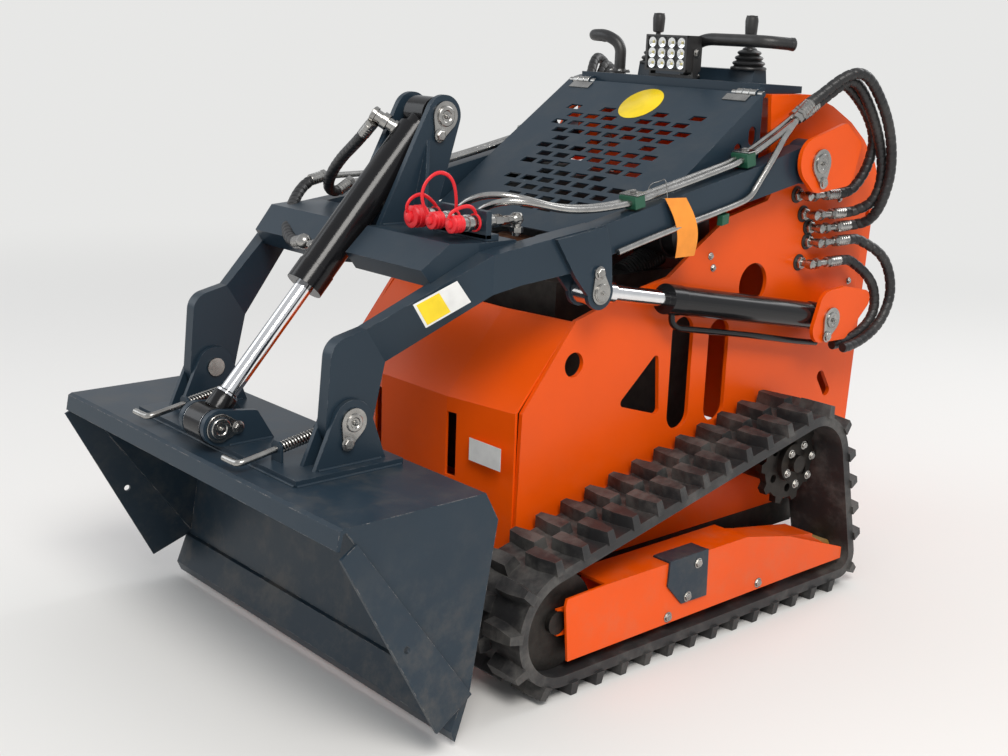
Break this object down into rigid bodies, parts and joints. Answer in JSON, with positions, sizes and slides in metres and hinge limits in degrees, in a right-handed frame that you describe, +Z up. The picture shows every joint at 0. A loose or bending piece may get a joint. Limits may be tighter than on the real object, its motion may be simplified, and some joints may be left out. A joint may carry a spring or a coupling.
{
  "type": "tracked mini loader",
  "caption": "Walk-behind tracked mini loader with lift arms, dumped bucket, sloped perforated hood and open-sided steel body.",
  "frame": {"origin": "on the ground under the middle of the machine's box, with the bucket dumped as pictured", "axes": "+Z up, -Y towards the bucket, +X towards the machine's left side"},
  "size_m": [1.0578, 1.755, 1.318],
  "materials": {
    "orange_paint": "semi-gloss, dusty",
    "slate_paint": "semi-gloss",
    "black_paint": "gloss",
    "track_rubber": "worn, dusty",
    "hose_rubber": "spiral wrapped",
    "zinc": "zinc plated",
    "chrome_rod": "polished",
    "cast_parts": "dark",
    "wheel_yellow": "rusty",
    "black_plastic": "grained",
    "lamp_housing": "satin"
  },
  "bodies": {
    "chassis": {"front_panel": "orange_paint", "rear_plate": "orange_paint", "rear_cover": "orange_paint", "belly_plate": "orange_paint", "engine": "cast_parts", "console": "slate_paint", "handlebars": "black_plastic", "control_levers": "black_plastic", "work_lamp": "lamp_housing", "side_plate_left": "orange_paint", "outer_ears_left": "orange_paint", "chassis_pins_left": "zinc", "hose_fittings_left": "zinc", "hoses_left": "hose_rubber", "track_left": "track_rubber", "sprocket_left": "cast_parts", "front_idler_left": "cast_parts", "rear_idler_left": "wheel_yellow", "track_frame_left": "orange_paint", "track_cover_left": "orange_paint", "side_plate_right": "orange_paint", "outer_ears_right": "orange_paint", "chassis_pins_right": "zinc", "hose_fittings_right": "zinc", "hoses_right": "hose_rubber", "track_right": "track_rubber", "sprocket_right": "cast_parts", "front_idler_right": "cast_parts", "rear_idler_right": "wheel_yellow", "track_frame_right": "orange_paint", "track_cover_right": "orange_paint"},
    "hood": {"hood": "slate_paint"},
    "lift_arms": {"arm_left": "slate_paint", "arm_right": "slate_paint", "arm_front_pins_left": "zinc", "arm_front_pins_right": "zinc", "cross_member": "slate_paint", "tilt_top_pin": "zinc", "coupler_block": "zinc", "arm_tubes_left": "zinc", "arm_tubes_right": "zinc"},
    "bucket": {"bucket_shell": "slate_paint", "cutting_edge": "slate_paint", "quick_attach": "slate_paint", "lock_handle_left": "zinc", "lock_handle_right": "zinc"},
    "lift_barrel_left": {"lift_barrel_left": "black_paint"},
    "lift_rod_left": {"lift_rod_left": "chrome_rod"},
    "lift_barrel_right": {"lift_barrel_right": "black_paint"},
    "lift_rod_right": {"lift_rod_right": "chrome_rod"},
    "tilt_barrel": {"tilt_barrel": "black_paint"},
    "tilt_rod": {"tilt_rod": "chrome_rod"}
  },
  "joints": [
    {"name": "lift_arms", "type": "hinge", "parent": "chassis", "child": "lift_arms", "pos_m": [0, 0.5025, 1.004], "axis": [-1, 0, 0], "range_deg": [-4, 62]},
    {"name": "bucket", "type": "hinge", "parent": "lift_arms", "child": "bucket", "pos_m": [0, -0.6775, 0.572], "axis": [1, 0, 0], "range_deg": [-105, 0]},
    {"name": "hood", "type": "hinge", "parent": "chassis", "child": "hood", "pos_m": [0, 0.3885, 1.15], "axis": [-1, 0, 0], "range_deg": [0, 60]},
    {"name": "lift_barrel_left", "type": "hinge", "parent": "chassis", "child": "lift_barrel_left", "pos_m": [0, 0.5975, 0.638], "axis": [-1, 0, 0], "range_deg": [-2.89, 44.06]},
    {"name": "lift_rod_left", "type": "slide", "parent": "lift_barrel_left", "child": "lift_rod_left", "axis": [0, -0.9838, 0.1795], "range_m": [-0.0179, 0.27]},
    {"name": "lift_barrel_right", "type": "hinge", "parent": "chassis", "child": "lift_barrel_right", "pos_m": [0, 0.5975, 0.638], "axis": [-1, 0, 0], "range_deg": [-2.89, 44.06]},
    {"name": "lift_rod_right", "type": "slide", "parent": "lift_barrel_right", "child": "lift_rod_right", "axis": [0, -0.9838, 0.1795], "range_m": [-0.0179, 0.27]},
    {"name": "tilt_barrel", "type": "hinge", "parent": "lift_arms", "child": "tilt_barrel", "pos_m": [0, -0.3105, 1.097], "axis": [1, 0, 0], "range_deg": [-2.66, 0.05]},
    {"name": "tilt_rod", "type": "slide", "parent": "tilt_barrel", "child": "tilt_rod", "axis": [0, -0.6709, -0.7415], "range_m": [-0.2398, 0.0005]}
  ],
  "couplings": [
    {"joint": "lift_barrel_left", "follows": "lift_arms", "ratio": 0.70981},
    {"joint": "lift_rod_left", "follows": "lift_arms", "m_per_rad": 0.24904},
    {"joint": "lift_barrel_right", "follows": "lift_arms", "ratio": 0.70981},
    {"joint": "lift_rod_right", "follows": "lift_arms", "m_per_rad": 0.24904},
    {"joint": "tilt_barrel", "follows": "bucket", "ratio": 0.02482},
    {"joint": "tilt_rod", "follows": "bucket", "m_per_rad": 0.13059}
  ]
}
